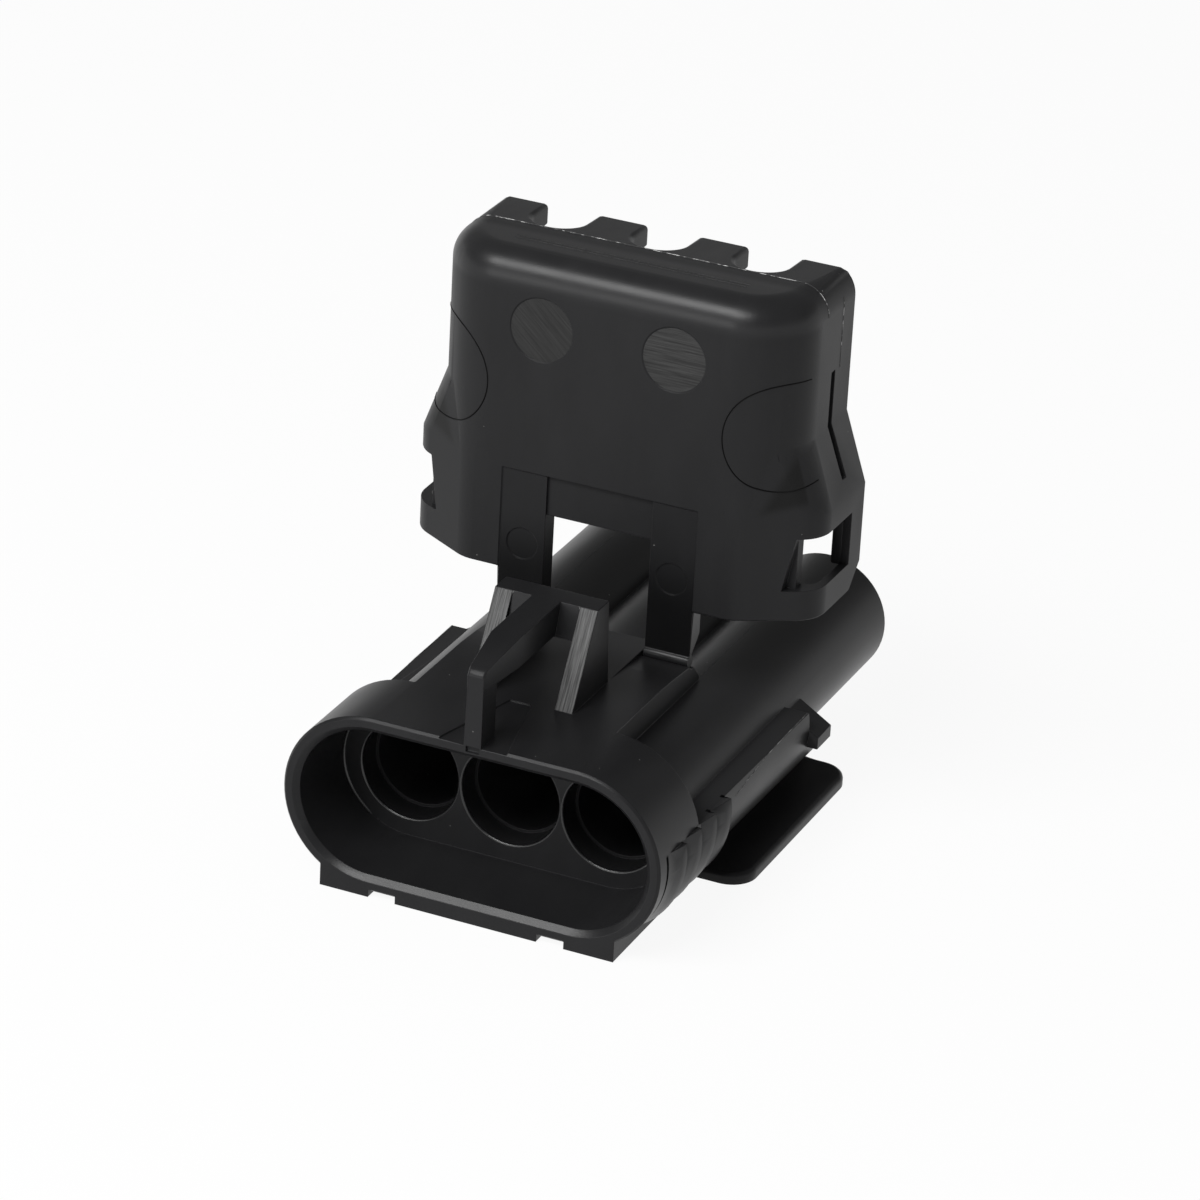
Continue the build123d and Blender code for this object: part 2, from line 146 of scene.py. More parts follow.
def post_top(low, high, convex):
    return max(low.y, high.y) < mouth_y + 0.5 * MM and min(low.z, high.z) > 20.0 * MM


# %% [markdown]
# The lock's end wall has three slots for the cables. The fingers between them have soft tops, and the
# lock's foot is soft on both sides of the straps.

# %% Which edges of the lock are rounded wider
finger_end_y = 8.13 * MM
near_top_z = 44.3 * MM
lock_foot_z = 19.0 * MM


def finger_tops(low, high, convex):
    at_end = at(low.y, finger_end_y) and at(high.y, finger_end_y) and max(low.z, high.z) > near_top_z
    in_slots = min(low.y, high.y) > 2.9 * MM and max(abs(low.x), abs(high.x)) < 10.6 * MM
    return convex and (at_end or (low.z > near_top_z and in_slots))


def lock_foot(low, high, convex):
    return convex and at(low.z, lock_foot_z) and at(high.z, lock_foot_z)


# %% [markdown]
# Each round below has its edges, its width in millimetres, and whether it is held back where it
# would run into the next one. Only the collar's rim needs that, because its edges lie close together.

# %% How far each round goes
housing_rounds = ((flange_rim, 0.40, False), (bore_rims, 0.19, False), (collar_rim, 0.16, True),
                  (post_top, 0.18, False))
lock_rounds = ((finger_tops, 0.38, False), (lock_foot, 0.16, False))
fine_round = 0.06 * MM
real_edge = math.radians(32)
print(len(housing_rounds) + len(lock_rounds), "wide rounds, then one of", fine_round / MM, "mm")


# %% Copy a CAD solid and soften its edges
def round_edges(shell, chosen, width, held_back):
    mesh = bmesh.from_edit_mesh(shell.data)
    found = 0
    for edge in mesh.edges:
        sharp = edge.is_manifold and edge.calc_face_angle() > real_edge
        low, high = sorted((vertex.co for vertex in edge.verts), key=lambda point: point.z)
        edge.select = sharp and chosen(low, high, edge.is_convex)
        found += edge.select
    bmesh.update_edit_mesh(shell.data)
    bpy.ops.mesh.bevel(offset=width * MM, segments=3, clamp_overlap=held_back, miter_outer="ARC")
    print(chosen.__name__, found, "edges rounded to", width, "mm")


def soften(node, name, wide_rounds):
    shell = copy_of(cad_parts[node], name)
    shell.data.materials.clear()
    select_only(shell)
    bpy.ops.object.mode_set(mode="EDIT")
    bpy.ops.mesh.select_mode(type="EDGE")
    bpy.ops.mesh.select_all(action="SELECT")
    bpy.ops.mesh.remove_doubles(threshold=0.001 * MM)
    bpy.ops.mesh.dissolve_limited(angle_limit=math.radians(0.5))
    for chosen, width, held_back in wide_rounds:
        round_edges(shell, chosen, width, held_back)
    bpy.ops.object.mode_set(mode="OBJECT")
    apply_modifier(shell, "BEVEL", width=fine_round, segments=2, limit_method="ANGLE",
                   angle_limit=real_edge, use_clamp_overlap=False, miter_outer="MITER_ARC")
    select_only(shell)
    bpy.ops.object.shade_smooth_by_angle(angle=real_edge)
    apply_modifier(shell, "WEIGHTED_NORMAL", keep_sharp=True, weight=90)
    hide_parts(node)
    settle(shell, node)
    return shell


housing_shell = soften("housing", "housing_shell", housing_rounds)
lock_shell = soften("secondary_lock", "lock_shell", lock_rounds)

# %% [markdown]
# ## The finger grips
# The grips on the sides need crisp grooves. The valleys between their teeth are pushed inwards a
# little, towards the axis that the grips run round.

# %% Deepen the grooves of the finger grips
grip_start = mouth_y + 1.6 * MM
grip_pitch = 2.75 * MM
groove_count = 5
grip_axis_x = 8.3 * MM
grip_axis_z = 7.7 * MM
grip_top_z = 9.05 * MM
groove_depth = 0.25 * MM
select_only(housing_shell)
bpy.ops.object.mode_set(mode="EDIT")
mesh = bmesh.from_edit_mesh(housing_shell.data)
pushed = 0
for vertex in mesh.verts:
    arm = Vector((abs(vertex.co.x) - grip_axis_x, 0, vertex.co.z - grip_axis_z))
    groove = round((vertex.co.y - grip_start) / grip_pitch)
    off_groove = abs(vertex.co.y - grip_start - groove * grip_pitch)
    in_groove = 0 <= groove < groove_count and off_groove < 0.1 * MM
    on_grip = arm.x > 0 and vertex.co.z < grip_top_z and 7.0 * MM < arm.length < 7.35 * MM
    if in_groove and on_grip:
        inwards = arm.normalized() * groove_depth
        vertex.co.x -= math.copysign(inwards.x, vertex.co.x)
        vertex.co.z -= inwards.z
        pushed += 1
bmesh.update_edit_mesh(housing_shell.data)
bpy.ops.object.mode_set(mode="OBJECT")
print("pushed", pushed, "points of the grip grooves inwards")

# %% [markdown]
# ## The parting line of the lock
# Where two halves of the mould meet, a hair of plastic squeezes out. On the lock that line goes round
# both upper corners, and its long run over the top comes later, among the flash lines. A copy of the
# lock is cut there with bisect, which leaves the outline of the cut. The outer part of the outline
# becomes a thin bead on the surface. Cutting the real shape makes the line follow every curve, which a
# drawn line would not.


# %% Turn loose edges into a thin bead
def bead_from_edges(piece, radius):
    select_only(piece)
    bpy.ops.object.convert(target="CURVE")
    piece.data.bevel_depth = radius
    piece.data.bevel_resolution = 1
    bpy.ops.object.convert(target="MESH")
    bpy.ops.object.shade_smooth()


# %% Outline of a shell where a plane cuts it
def outline_at(shell, name, plane_point, plane_normal, keep):
    line = copy_of(shell, name)
    select_only(line)
    bpy.ops.object.mode_set(mode="EDIT")
    bpy.ops.mesh.select_mode(type="VERT")
    bpy.ops.mesh.select_all(action="SELECT")
    bpy.ops.mesh.bisect(plane_co=plane_point, plane_no=plane_normal, use_fill=False)
    mesh = bmesh.from_edit_mesh(line.data)
    for part in list(mesh.faces) + list(mesh.edges):
        part.select = False
    for vertex in mesh.verts:
        off_plane = abs((vertex.co - Vector(plane_point)).dot(Vector(plane_normal)))
        vertex.select = off_plane >= 0.002 * MM or not keep(vertex.co)
    mesh.select_flush_mode()
    bmesh.update_edit_mesh(line.data)
    bpy.ops.mesh.delete(type="VERT")
    bpy.ops.mesh.select_all(action="SELECT")
    bpy.ops.mesh.delete(type="ONLY_FACE")
    bpy.ops.object.mode_set(mode="OBJECT")
    points = line.data.vertices
    lengths = [(points[a].co - points[b].co).length for a, b in line.data.edge_keys]
    print(name, "outline has", len(lengths), "edges, the longest", round(max(lengths) / MM, 2), "mm")
    return line


# %% The line round the lock's upper corners
def on_outside_of_lock(point):
    above_wings = point.z > hinge_z + 18.6 * MM
    at_side = abs(point.x) > lock_half - 0.6 * MM
    at_top = point.z > lock_top_z - 0.9 * MM
    in_corner = abs(point.x) > 12.6 * MM and point.z > lock_top_z - 1.75 * MM
    return above_wings and (at_side or at_top or in_corner)


lock_line = outline_at(lock_shell, "lock_parting_line", (0, parting_y, 0), (0, 1, 0), on_outside_of_lock)
bead_from_edges(lock_line, 0.035 * MM)
settle(lock_line, "secondary_lock")

# %% [markdown]
# ## Marks and flash lines laid on the surface
# A mould is built from inserts, and each joint between two of them prints a fine line on the part: round
# ones from the corner inserts, straight ones along the ledges, the barrels and the lock's top. Each is
# drawn as a flat outline beside the part, and a shrinkwrap modifier throws it onto the real surface, so
# it lies on flats and curves alike. What misses the surface is deleted.


# %% Throw an outline onto a shell along one axis
def print_on(line, shell, direction, reach, radius, body):
    forwards = direction[0] == "+"
    axis = {"use_project_" + direction[1]: True}
    start = [vertex.co.copy() for vertex in line.data.vertices]
    apply_modifier(line, "SHRINKWRAP", target=shell, wrap_method="PROJECT", **axis,
                   project_limit=reach, use_negative_direction=not forwards, use_positive_direction=forwards)
    select_only(line)
    bpy.ops.object.mode_set(mode="EDIT")
    bpy.ops.mesh.select_mode(type="VERT")
    mesh = bmesh.from_edit_mesh(line.data)
    for vertex, before in zip(mesh.verts, start):
        vertex.select = (vertex.co - before).length < 0.001 * MM
    bpy.ops.mesh.delete(type="VERT")
    bpy.ops.object.mode_set(mode="OBJECT")
    bead_from_edges(line, radius)
    settle(line, body)
    return line


# %% Round insert marks on the lock's corners
insert_radius = 4.3 * MM
insert_x = 14.0 * MM
insert_z = 34.0 * MM
before_lock_y = -5 * MM
corner_marks = []
for side, name in ((-1, "left"), (1, "right")):
    bpy.ops.object.select_all(action="DESELECT")
    bpy.ops.mesh.primitive_circle_add(vertices=120, radius=insert_radius, rotation=(math.radians(90), 0, 0),
                                      location=(side * insert_x, before_lock_y, insert_z))
    mark = bpy.context.object
    mark.name = "corner_mark_" + name
    apply_place(mark)
    corner_marks.append(print_on(mark, lock_shell, "+y", 10 * MM, 0.055 * MM, "secondary_lock"))


# %% A straight flash line that wanders a little
flash_throw = 4 * MM


def flash_line(name, start, end, direction, shell, body, radius, wander):
    start = Vector(start) * MM
    end = Vector(end) * MM
    bpy.ops.object.select_all(action="DESELECT")
    bpy.ops.mesh.primitive_grid_add(x_subdivisions=60, y_subdivisions=1, size=1.0)
    line = bpy.context.object
    line.name = name
    bpy.ops.object.mode_set(mode="EDIT")
    bpy.ops.mesh.select_mode(type="VERT")
    for vertex in bmesh.from_edit_mesh(line.data).verts:
        vertex.select = vertex.co.y > 0
    bpy.ops.mesh.delete(type="VERT")
    for vertex in bmesh.from_edit_mesh(line.data).verts:
        vertex.co.y = 0
    bpy.ops.object.mode_set(mode="OBJECT")
    line.location = (start + end) / 2
    line.rotation_mode = "QUATERNION"
    line.rotation_quaternion = (end - start).to_track_quat("X", "Z")
    line.scale = Vector((1, 1, 1)) * (end - start).length
    apply_place(line)
    bpy.ops.object.mode_set(mode="EDIT")
    bpy.ops.mesh.select_all(action="SELECT")
    bpy.ops.transform.vertex_random(offset=wander * MM, uniform=1.0, normal=0.0, seed=len(name))
    bpy.ops.object.mode_set(mode="OBJECT")
    return print_on(line, shell, direction, flash_throw, radius * MM, body)


# %% [markdown]
# The plan below gives each line its name, its two ends beside the part, the way it is thrown, the shell
# and its body, its radius and how far it wanders, all in millimetres. The seam over the lock's top joins
# the two ends of its parting line.

# %% Where the flash lines run
on_housing = (housing_shell, "housing")
on_lock = (lock_shell, "secondary_lock")
seam_y = parting_y / MM
flash_plan = []
for side, name, inwards in ((-1, "left", "+x"), (1, "right", "-x")):
    ledge_x = side * 15.27
    wall_x = side * 17
    flash_plan += [
        ("ledge_flash_" + name, (ledge_x, -11.3, 12), (ledge_x, 3.9, 12), "-z", *on_housing, 0.025, 0.006),
        ("lock_side_line_" + name, (wall_x, 5.85, 37.2), (wall_x, 5.85, 43), inwards, *on_lock, 0.03, 0.02),
    ]
flash_plan += [
    ("barrel_line_right", (8.2, -1.3, 14), (8.2, 9.5, 14), "-z", *on_housing, 0.02, 0.01),
    ("barrel_line_left", (-8.2, 7.1, 14), (-8.2, 18.8, 14), "-z", *on_housing, 0.02, 0.01),
    ("lock_top_line_front", (-9.56, -0.17, 46), (9.56, -0.17, 46), "-z", *on_lock, 0.025, 0.01),
    ("lock_top_line_back", (-9.56, 0.27, 46), (9.56, 0.27, 46), "-z", *on_lock, 0.025, 0.01),
    ("lock_side_seam_over_top", (-12.7, seam_y, 46), (12.7, seam_y, 46), "-z", *on_lock, 0.04, 0.015),
]
flash_lines = [flash_line(*row) for row in flash_plan]
print(len(flash_lines), "flash lines")

# %% [markdown]
# ## The bars beside the catch windows
# Each wing has a window that a catch of the shell snaps into. The bar between the window and the wing's
# free edge is thicker on the inside, where the catch pulls on it. One bar is modelled and copied, and
# the copy is mirrored. A mirror turns a mesh inside out, so the copy's normals are worked out anew.

# %% Two bars on the insides of the wings
bar_middle = (16.02 * MM, 6.5 * MM, 23.65 * MM)
bar_size = (0.94 * MM, 2.0 * MM, 4.9 * MM)
bpy.ops.object.select_all(action="DESELECT")
bpy.ops.mesh.primitive_cube_add(size=1.0, location=bar_middle)
bar = bpy.context.object
bar.name = "wing_bar_right"
bar.scale = bar_size
apply_place(bar)
apply_modifier(bar, "BEVEL", width=0.18 * MM, segments=3)
select_only(bar)
bpy.ops.object.shade_smooth_by_angle(angle=real_edge)
bpy.ops.object.duplicate(linked=False)
other_bar = bpy.context.object
other_bar.name = "wing_bar_left"
other_bar.scale = (-1, 1, 1)
apply_place(other_bar)
bpy.ops.object.mode_set(mode="EDIT")
bpy.ops.mesh.select_all(action="SELECT")
bpy.ops.mesh.normals_make_consistent(inside=False)
bpy.ops.object.mode_set(mode="OBJECT")
wing_bars = [bar, other_bar]
for piece in wing_bars:
    settle(piece, "secondary_lock")

# %% [markdown]
# ## Colour and node helpers
# Colours are written as sRGB hex values, as a colour picker gives them, and turned to the linear
# values that shaders use. One function adds a node with its settings and its links, one starts an
# empty material, and one gives a finished material to a piece.


# %% Hex colour, node and material helpers
def linear(hex_colour):
    parts = [int(hex_colour[i:i + 2], 16) / 255 for i in (1, 3, 5)]
    return [p / 12.92 if p <= 0.04045 else ((p + 0.055) / 1.055) ** 2.4 for p in parts] + [1.0]


def add_node(tree, kind, inputs=None, **settings):
    node = tree.nodes.new(kind)
    for name, value in settings.items():
        setattr(node, name, value)
    for name, value in (inputs or {}).items():
        if isinstance(value, bpy.types.NodeSocket):
            tree.links.new(value, node.inputs[name])
        else:
            node.inputs[name].default_value = value
    return node


def empty_material(name):
    material = bpy.data.materials.new(name)
    material.use_nodes = True
    material.node_tree.nodes.clear()
    return material, material.node_tree


def give(piece, material):
    piece.data.materials.clear()
    piece.data.materials.append(material)


nylon_ior = 1.53
print("nylon bends light with an IOR of", nylon_ior)

# %% [markdown]
# ## Places where the plastic differs, and where shade is painted
# The skin isn't the same all over. The grip grooves are darkened by painted shade, a triangle on the
# front of each wing is darkened by a painted dark reflection, the lock's upper edge is a little smoother,
# and the straps are darkened towards the hinge by painted shade.
# Each such place is a mask, a share between 0 and 1 that is worked out from Object coordinates, so it
# stays where it is on the plastic. A mask is the space beyond a few planes, each given by its normal
# and its distance from the origin, and it fades in over the width of its blur. The mirrored place has
# no minus signs, so it serves both sides at once.


# %% Masks from planes
def overlap(tree, shares):
    product = shares[0]
    for share in shares[1:]:
        product = add_node(tree, "ShaderNodeMath", {0: product, 1: share}, operation="MULTIPLY").outputs[0]
    return product


def beyond(tree, place, planes, blur=0.25 * MM):
    shares = []
    for normal, level in planes:
        reach = add_node(tree, "ShaderNodeVectorMath", {0: place, 1: normal}, operation="DOT_PRODUCT")
        fade = add_node(tree, "ShaderNodeMapRange", {"Value": reach.outputs["Value"], "From Min": level,
                        "From Max": level + blur}, interpolation_type="SMOOTHSTEP")
        shares.append(fade.outputs["Result"])
    return overlap(tree, shares)


def triangle_planes(corners):
    middle = Vector((sum(x for x, z in corners) / 3, 0, sum(z for x, z in corners) / 3))
    planes = []
    for (x0, z0), (x1, z1) in zip(corners, corners[1:] + corners[:1]):
        normal = Vector((z0 - z1, 0, x1 - x0)).normalized()
        level = normal.dot(Vector((x0, 0, z0)))
        if normal.dot(middle) < level:
            normal, level = -normal, -level
        planes.append((tuple(normal), level * MM))
    return planes


# %% [markdown]
# The painted shade in the grooves repeats, so its mask counts along Y and folds back at half a pitch:
# it is 1 in a valley and 0 on a tooth. It holds only outside the collar's wall, in front, and low on the
# sides.

# %% Mask of the painted shade in the grip grooves
groove_lead = 0.12 * MM
groove_shade_core = 0.14 * MM
groove_shade_edge = 0.26 * MM
wall_radius = 6.7 * MM
grip_front = (((0, -1, 0), 11.6 * MM), ((0, 1, 0), -23.5 * MM))
grip_side = (((1, 0, 0), 13.0 * MM), ((0, 0, 1), 1.2 * MM), ((0, 0, -1), -9.2 * MM))


def painted_groove_shade(tree, place, mirrored):
    split = add_node(tree, "ShaderNodeSeparateXYZ", {"Vector": place})
    along = add_node(tree, "ShaderNodeMath", {0: split.outputs["Y"], 1: grip_start - groove_lead},
                     operation="SUBTRACT")
    off_groove = add_node(tree, "ShaderNodeMath", {0: along.outputs[0], 1: grip_pitch / 2},
                          operation="PINGPONG")
    groove = add_node(tree, "ShaderNodeMapRange", {"Value": off_groove.outputs[0],
                      "From Min": groove_shade_core, "From Max": groove_shade_edge, "To Min": 1.0, "To Max": 0.0})
    arm = add_node(tree, "ShaderNodeVectorMath", {0: mirrored, 1: (grip_axis_x, 0, grip_axis_z)},
                   operation="SUBTRACT")
    flat_arm = add_node(tree, "ShaderNodeVectorMath", {0: arm.outputs["Vector"], 1: (1, 0, 1)},
                        operation="MULTIPLY")
    reach = add_node(tree, "ShaderNodeVectorMath", {0: flat_arm.outputs["Vector"]}, operation="LENGTH")
    outside = add_node(tree, "ShaderNodeMath", {0: reach.outputs["Value"], 1: wall_radius},
                       operation="GREATER_THAN")
    return overlap(tree, (groove.outputs["Result"], outside.outputs[0], beyond(tree, place, grip_front),
                          beyond(tree, mirrored, grip_side)))


print("grooves darken from", groove_shade_edge / MM, "to", groove_shade_core / MM, "mm off their middle")

# %% [markdown]
# The painted dark reflection is a triangle, given by its three corners, as X and Z in millimetres, and it
# holds in front only.

# %% Masks of the painted dark reflection, the upper edge and the painted shade at the straps' feet
dark_reflection_corners = [(15.4, 34.9), (12.1, 27.3), (17.0, 28.5)]
front_of_lock = (((0, -1, 0), 0.5 * MM),)
upper_edge = (((0, 0, 1), 41.8 * MM), ((0, -1, 0), -2.0 * MM))
shaded_strap_feet = (((0, 0, -1), -24.5 * MM),)


def painted_reflection_triangles(tree, place, mirrored):
    triangle = beyond(tree, mirrored, triangle_planes(dark_reflection_corners), 0.9 * MM)
    return overlap(tree, (triangle, beyond(tree, place, front_of_lock)))


def on_upper_edge(tree, place):
    return beyond(tree, place, upper_edge, 1.2 * MM)


# Painted shade at the straps' feet: it fades in below 24.5 mm over 6 mm, scaled by the share that each nylon
# gives.
def painted_foot_shade(tree, place, foot_shade):
    foot = beyond(tree, place, shaded_strap_feet, 6.0 * MM)
    return add_node(tree, "ShaderNodeMath", {0: foot, 1: foot_shade}, operation="MULTIPLY").outputs[0]


print("the worn triangle's corners, X and Z in mm:", dark_reflection_corners)

# %% [markdown]
# ## The plastic
# The part is black moulded nylon, PA66, a tough plastic with a satin skin. The eye sees a deep grey
# black, soft wide reflections, a very fine grain from the spark-eroded mould, faint flow marks where
# the melt ran, and here and there a speck of pale dust. Pattern sizes are real: the grain is 0.12 mm,
# and the flow marks are about 2.5 mm wide and three times as long. Dust comes from Voronoi cells of
# 1.6 mm, of which a quarter hold a speck 0.09 mm across.

# %% Colour of the nylon
grain_size = 0.12 * MM
flow_size = 2.5 * MM
dust_cell = 1.6 * MM
speck_radius = 0.028
clean_cells = 0.75
# Near-black is painted shade, in the grip grooves and at the straps' feet; #131313 is the painted dark
# reflection on the wings' fronts.
painted_shade_black = linear("#050505")
painted_reflection_black = linear("#131313")
dust_grey = linear("#7c7c7a")


# The flow tones are mixed first, then the painted dark reflection, then the painted shade.
def nylon_colour(tree, flow, tones, dark_reflection, darker_dull):
    tone = add_node(tree, "ShaderNodeMix", {"Factor": flow.outputs["Fac"], "A": linear(tones[0]),
                    "B": linear(tones[1])}, data_type="RGBA")
    with_dark_reflection = add_node(tree, "ShaderNodeMix", {"Factor": dark_reflection, "A": tone.outputs["Result"],
                       "B": painted_reflection_black}, data_type="RGBA")
    return add_node(tree, "ShaderNodeMix", {"Factor": darker_dull, "A": with_dark_reflection.outputs["Result"],
                    "B": painted_shade_black}, data_type="RGBA").outputs["Result"]


def dusted(tree, place, colour):
    cells = add_node(tree, "ShaderNodeTexVoronoi", {"Vector": place, "Scale": 1 / dust_cell})
    specks = add_node(tree, "ShaderNodeMath", {0: cells.outputs["Distance"], 1: speck_radius},
                      operation="LESS_THAN")
    lot = add_node(tree, "ShaderNodeSeparateColor", {"Color": cells.outputs["Color"]})
    few = add_node(tree, "ShaderNodeMath", {0: lot.outputs["Red"], 1: clean_cells},
                   operation="GREATER_THAN")
    dust = overlap(tree, (specks.outputs[0], few.outputs[0]))
    return add_node(tree, "ShaderNodeMix", {"Factor": dust, "A": colour, "B": dust_grey},
                    data_type="RGBA").outputs["Result"]


print("grain", grain_size / MM, "mm, flow marks", flow_size / MM, "mm, dust cells", dust_cell / MM, "mm")

# %% [markdown]
# Roughness follows the flow marks between a smoothest and a roughest value, and drops on the lock's
# upper edge. Shine is how much the skin mirrors: it rises on that edge, and goes to nothing where shade
# is painted, in the grooves and at the straps' feet.

# %% Roughness and shine of the nylon
edge_roughness = -0.09
edge_shine = 0.10


def nylon_roughness(tree, flow, polished, smoothest, roughest):
    roughness = add_node(tree, "ShaderNodeMapRange", {"Value": flow.outputs["Fac"], "From Min": 0.2,
                         "From Max": 0.8, "To Min": smoothest, "To Max": roughest})
    return add_node(tree, "ShaderNodeMath", {0: polished, 1: edge_roughness,
                    2: roughness.outputs["Result"]}, operation="MULTIPLY_ADD").outputs[0]


def nylon_shine(tree, polished, darker_dull, shine):
    shinier = add_node(tree, "ShaderNodeMath", {0: polished, 1: edge_shine, 2: shine},
                       operation="MULTIPLY_ADD")
    return add_node(tree, "ShaderNodeMapRange", {"Value": darker_dull, "To Min": shinier.outputs[0],
                    "To Max": 0.0}).outputs["Result"]


print("the lock's upper edge has", edge_shine, "more shine and", -edge_roughness, "less roughness")


# %% Moulded black nylon
def moulded_nylon(name, smoothest, roughest, tones=("#1c1c1d", "#232324"), shine=0.13, foot_shade=0.0):
    material, tree = empty_material(name)
    place = add_node(tree, "ShaderNodeTexCoord").outputs["Object"]
    mirrored = add_node(tree, "ShaderNodeVectorMath", {0: place}, operation="ABSOLUTE").outputs["Vector"]
    polished = on_upper_edge(tree, place)
    # Painted shade in the grooves and at the straps' feet darkens the colour and takes away the shine.
    darker_dull = add_node(tree, "ShaderNodeMath", {0: painted_groove_shade(tree, place, mirrored),
                    1: painted_foot_shade(tree, place, foot_shade)}, operation="MAXIMUM").outputs[0]
    flow_place = add_node(tree, "ShaderNodeMapping", {"Vector": place, "Scale": (1.0, 0.35, 0.35)})
    flow = add_node(tree, "ShaderNodeTexNoise", {"Vector": flow_place.outputs["Vector"],
                    "Scale": 1 / flow_size, "Detail": 2.0})
    colour = nylon_colour(tree, flow, tones, painted_reflection_triangles(tree, place, mirrored), darker_dull)
    grain = add_node(tree, "ShaderNodeTexNoise", {"Vector": place, "Scale": 1 / grain_size, "Detail": 3.0})
    bump = add_node(tree, "ShaderNodeBump", {"Height": grain.outputs["Fac"], "Strength": 0.5,
                    "Distance": 0.01 * MM})
    plastic = add_node(tree, "ShaderNodeBsdfPrincipled", {"Base Color": dusted(tree, place, colour),
                       "Roughness": nylon_roughness(tree, flow, polished, smoothest, roughest),
                       "Normal": bump.outputs["Normal"], "IOR": nylon_ior,
                       "Specular IOR Level": nylon_shine(tree, polished, darker_dull, shine)})
    out = add_node(tree, "ShaderNodeOutputMaterial")
    tree.links.new(plastic.outputs["BSDF"], out.inputs["Surface"])
    return material


# %% The nylon of the shell, the lock and the corner marks
shell_nylon = moulded_nylon("black_nylon_shell", 0.30, 0.38)
lock_nylon = moulded_nylon("black_nylon_lock", 0.38, 0.46)
# The corner marks are near-black and barely shiny: painted shade, standing in for the shadow along the step
# that each insert joint leaves.
step_shade_nylon = moulded_nylon("black_nylon_painted_step_shade", 0.42, 0.50, ("#080808", "#0c0c0c"), 0.05)
give(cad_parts["housing"], shell_nylon)
give(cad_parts["secondary_lock"], lock_nylon)
give(housing_shell, shell_nylon)
give(lock_shell, lock_nylon)
for piece in wing_bars:
    give(piece, lock_nylon)
for piece in corner_marks:
    give(piece, step_shade_nylon)
print("plastic on", len(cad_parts), "nodes, their shells, the wing bars and the corner marks")

# %% [markdown]
# ## Flash with painted glints
# The hair of plastic in a mould joint catches the light in dashes, and its pale dashed colour is a painted
# highlight standing in for those glints. The dashes are noise half a millimetre long. The side of the lock
# has the palest flash, the ledges come next, and the lines on the barrels and along the lock's top are faint.


# %% Flash with painted glints
def glint_flash(name, darker_dull, pale):
    material, tree = empty_material(name)
    place = add_node(tree, "ShaderNodeTexCoord").outputs["Object"]
    dash_noise = add_node(tree, "ShaderNodeTexNoise", {"Vector": place, "Scale": 1 / (0.5 * MM), "Detail": 3.0})
    dashes = add_node(tree, "ShaderNodeMapRange", {"Value": dash_noise.outputs["Fac"], "From Min": 0.48,
                      "From Max": 0.62})
    tone = add_node(tree, "ShaderNodeMix", {"Factor": dashes.outputs["Result"], "A": linear(darker_dull),
                    "B": linear(pale)}, data_type="RGBA")
    plastic = add_node(tree, "ShaderNodeBsdfPrincipled", {"Base Color": tone.outputs["Result"],
                       "Roughness": 0.45, "IOR": nylon_ior, "Specular IOR Level": 0.2})
    out = add_node(tree, "ShaderNodeOutputMaterial")
    tree.links.new(plastic.outputs["BSDF"], out.inputs["Surface"])
    return material


# The pale tone of each flash stands in for glints: a painted highlight, palest on the lock's side lines.
palest_glint_flash = glint_flash("torn_nylon_flash", "#3a3a3a", "#b4b4b4")
ledge_flash = glint_flash("ledge_nylon_flash", "#3a3a3a", "#858585")
quiet_flash = glint_flash("quiet_nylon_flash", "#262626", "#3c3c3c")
flash_skins = {"lock_side": palest_glint_flash, "ledge_flash": ledge_flash, "barrel_line": quiet_flash,
               "lock_top": quiet_flash}
give(lock_line, palest_glint_flash)
for line in flash_lines:
    for start, skin in flash_skins.items():
        if line.name.startswith(start):
            give(line, skin)
            print(line.name, "has", skin.name)

# %% [markdown]
# ## Smoother skin on a few faces
# Steel that was turned or polished leaves a smoother skin than spark-eroded steel: the rims of the three
# bores mirror most, the mouth's lower lip and the hinge beads less. The straps are a little smoother
# than the lock, and painted darker at their feet, a painted shade. Each gets its own nylon, put on the
# faces that a rule picks by the middle of the face, in millimetres, and its normal.


# %% Give a material to the faces that a rule picks
def put_on_faces(shell, material, chosen):
    shell.data.materials.append(material)
    slot = len(shell.data.materials) - 1
    count = 0
    for face in shell.data.polygons:
        if chosen(face.center / MM, face.normal):
            face.material_index = slot
            count += 1
    print(material.name, "on", count, "faces of", shell.name)


# %% Nylon of the straps and the hinge beads
# The straps' nylon carries painted shade at their feet, 0.6 of the way to near-black towards the hinge.
strap_nylon = moulded_nylon("black_nylon_strap", 0.34, 0.42, ("#1a1a1b", "#202021"), 0.13, 0.6)
bead_nylon = moulded_nylon("black_nylon_bead", 0.30, 0.34, ("#19191a", "#1e1e1f"), 0.23)
bead_top = 15.4


def on_straps(spot, normal):
    return bead_top <= spot.z < 22 and 4.3 < abs(spot.x) < 8.2


def on_hinge_beads(spot, normal):
    return spot.z < bead_top


put_on_faces(lock_shell, strap_nylon, on_straps)
put_on_faces(lock_shell, bead_nylon, on_hinge_beads)

# %% Nylon of the bore rims and the mouth's lower lip
smooth_nylon = moulded_nylon("black_nylon_smooth", 0.22, 0.28, ("#141415", "#19191a"), 0.50)


def on_bore_rims(spot, normal):
    at_wall = abs(spot.y - inner_wall_y / MM) < 0.2
    return at_wall and 0.1 < abs(normal.y) < 0.98 and abs(spot.z - passage_z / MM) < 4.4


def on_lower_lip(spot, normal):
    at_mouth = spot.y < mouth_y / MM + 0.7 and 0.5 < spot.z < 5.0
    return at_mouth and normal.z > 0.1 and normal.y < -0.1


put_on_faces(housing_shell, smooth_nylon, on_bore_rims)
put_on_faces(housing_shell, bead_nylon, on_lower_lip)
